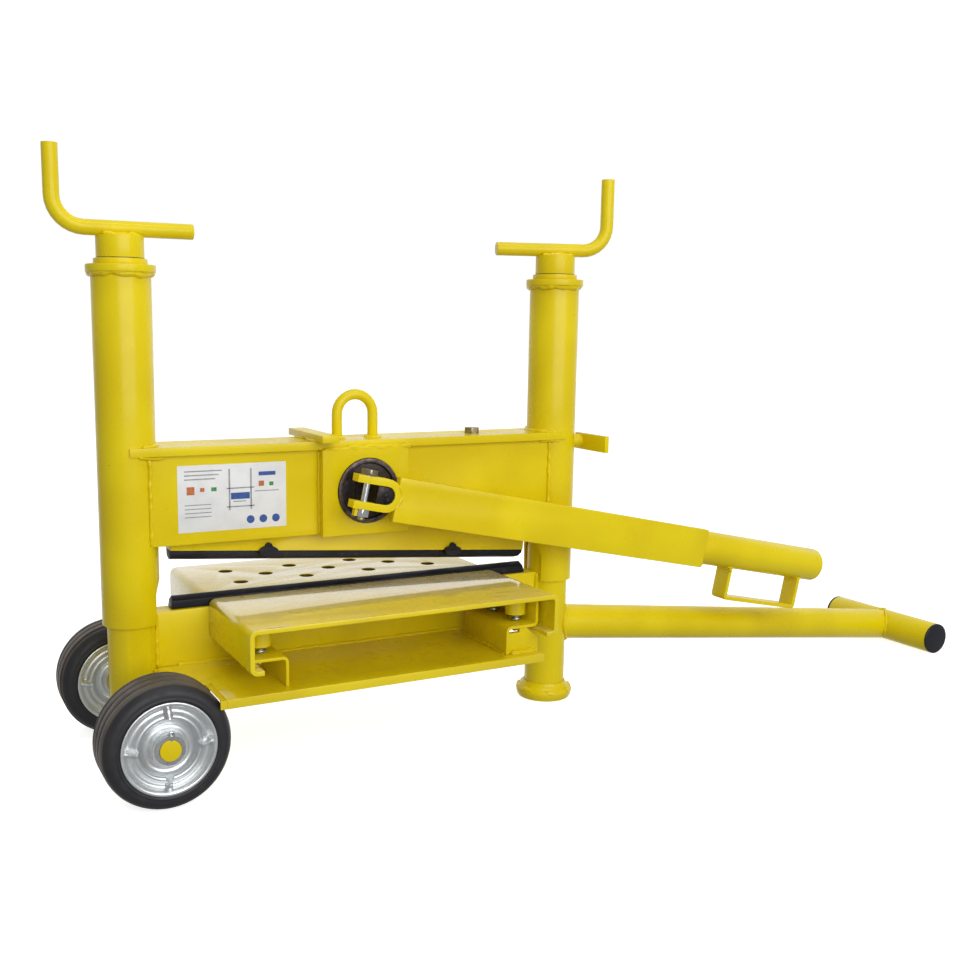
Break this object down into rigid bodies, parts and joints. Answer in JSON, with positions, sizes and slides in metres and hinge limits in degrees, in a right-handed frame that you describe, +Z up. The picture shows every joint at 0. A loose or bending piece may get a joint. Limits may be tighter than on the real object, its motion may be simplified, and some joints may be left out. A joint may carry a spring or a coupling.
{
  "type": "paving block splitter",
  "caption": "Manual paving block and kerb splitter: lever-driven knife on a screw-raised beam, fixed lower blade, sprung tables, wheels and a long support arm.",
  "frame": {"origin": "bottom centre of the bounding box, on the ground", "axes": "+X along the cutting line from the wheels to the end of the support arm, +Y to the rear, away from the lever, +Z up"},
  "size_m": [1.2532, 0.316, 0.654],
  "materials": {
    "yellow_paint": "glossy yellow enamel on welded steel",
    "table_paint": "yellow enamel worn to a dull beige on top",
    "blade_steel": "black hardened tool steel",
    "shaft_steel": "dark oiled steel",
    "zinc_steel": "bright zinc",
    "spring_steel": "spring steel",
    "wheel_zinc": "pressed galvanised sheet",
    "tyre": "black solid rubber",
    "plug_plastic": "black plug"
  },
  "bodies": {
    "base": {"axle": "yellow_paint", "cross_tube": "yellow_paint", "foot_disc": "yellow_paint", "front_end_plug": "plug_plastic", "front_left_inner_spring": "spring_steel", "front_left_outer_spring": "spring_steel", "front_left_spring_bracket": "yellow_paint", "front_right_inner_spring": "spring_steel", "front_right_outer_spring": "spring_steel", "front_right_spring_bracket": "yellow_paint", "left_post": "yellow_paint", "lower_blade": "blade_steel", "lower_flange": "yellow_paint", "lower_web": "yellow_paint", "rear_end_plug": "plug_plastic", "rear_left_inner_spring": "spring_steel", "rear_left_outer_spring": "spring_steel", "rear_left_spring_bracket": "yellow_paint", "rear_right_inner_spring": "spring_steel", "rear_right_outer_spring": "spring_steel", "rear_right_spring_bracket": "yellow_paint", "right_post": "yellow_paint", "support_arm": "yellow_paint"},
    "front_wheel": {"front_tyre": "tyre", "front_wheel_rim": "wheel_zinc"},
    "rear_wheel": {"rear_tyre": "tyre", "rear_wheel_rim": "wheel_zinc"},
    "front_table": {"front_table": "table_paint"},
    "rear_table": {"rear_table": "table_paint"},
    "beam": {"left_sleeve": "yellow_paint", "right_sleeve": "yellow_paint", "left_collar": "yellow_paint", "right_collar": "yellow_paint", "beam_top_flange": "yellow_paint", "beam_front_web": "yellow_paint", "beam_rear_web": "yellow_paint", "front_side_plate": "yellow_paint", "rear_side_plate": "yellow_paint", "cross_bar": "yellow_paint", "lifting_eye": "yellow_paint", "front_bearing_ring": "shaft_steel", "rear_bearing_ring": "shaft_steel", "stop_bolt": "zinc_steel"},
    "left_crank": {"left_crank": "yellow_paint", "left_lifting_screw": "yellow_paint"},
    "right_crank": {"right_crank": "yellow_paint", "right_lifting_screw": "yellow_paint"},
    "clamp": {"clamp_screw": "yellow_paint"},
    "lever": {"eccentric_shaft": "shaft_steel", "lever_fork": "yellow_paint", "lever_bar": "yellow_paint", "grip_tube": "yellow_paint", "grip_loop": "yellow_paint", "lever_bolt": "zinc_steel"},
    "bush": {"eccentric_bush": "shaft_steel"},
    "knife": {"knife_holder": "yellow_paint", "upper_blade": "blade_steel", "left_blade_bolt": "blade_steel", "right_blade_bolt": "blade_steel"}
  },
  "joints": [
    {"name": "front_wheel_spin", "type": "hinge", "parent": "base", "child": "front_wheel", "pos_m": [-0.55063, -0.11625, 0.065], "axis": [0, 1, 0], "continuous": true},
    {"name": "rear_wheel_spin", "type": "hinge", "parent": "base", "child": "rear_wheel", "pos_m": [-0.55063, 0.11625, 0.065], "axis": [0, 1, 0], "continuous": true},
    {"name": "front_table_press", "type": "slide", "parent": "base", "child": "front_table", "axis": [0, 0, 1], "range_m": [-0.003, 0], "stiffness_N_per_m": 20000, "springref_m": 0.004, "deforming": ["front_left_inner_spring", "front_left_outer_spring", "front_right_inner_spring", "front_right_outer_spring"]},
    {"name": "rear_table_press", "type": "slide", "parent": "base", "child": "rear_table", "axis": [0, 0, 1], "range_m": [-0.003, 0], "stiffness_N_per_m": 20000, "springref_m": 0.004, "deforming": ["rear_left_inner_spring", "rear_left_outer_spring", "rear_right_inner_spring", "rear_right_outer_spring"]},
    {"name": "beam_height", "type": "slide", "parent": "base", "child": "beam", "axis": [0, 0, 1], "range_m": [0, 0.11]},
    {"name": "left_crank_turn", "type": "hinge", "parent": "beam", "child": "left_crank", "pos_m": [-0.55363, 0, 0.55], "axis": [0, 0, 1], "range_deg": [0, 7920]},
    {"name": "right_crank_turn", "type": "hinge", "parent": "beam", "child": "right_crank", "pos_m": [-0.02662, 0, 0.55], "axis": [0, 0, 1], "range_deg": [0, 7920]},
    {"name": "clamp_turn", "type": "hinge", "parent": "beam", "child": "clamp", "pos_m": [0.01137, 0, 0.3312], "axis": [1, 0, 0], "range_deg": [-180, 180]},
    {"name": "lever_swing", "type": "hinge", "parent": "beam", "child": "lever", "pos_m": [-0.29363, 0, 0.2895], "axis": [0, -1, 0], "range_deg": [0, 120]},
    {"name": "bush_turn", "type": "hinge", "parent": "lever", "child": "bush", "pos_m": [-0.29363, 0, 0.2815], "axis": [0, 1, 0], "range_deg": [0, 120]},
    {"name": "knife_rock", "type": "hinge", "parent": "bush", "child": "knife", "pos_m": [-0.29363, 0, 0.2815], "axis": [0, -1, 0], "range_deg": [0, 3.2]}
  ],
  "couplings": [
    {"joint": "left_crank_turn", "follows": "beam_height", "rad_per_m": 1256.6},
    {"joint": "right_crank_turn", "follows": "beam_height", "rad_per_m": 1256.6},
    {"joint": "bush_turn", "follows": "lever_swing", "ratio": 1}
  ]
}
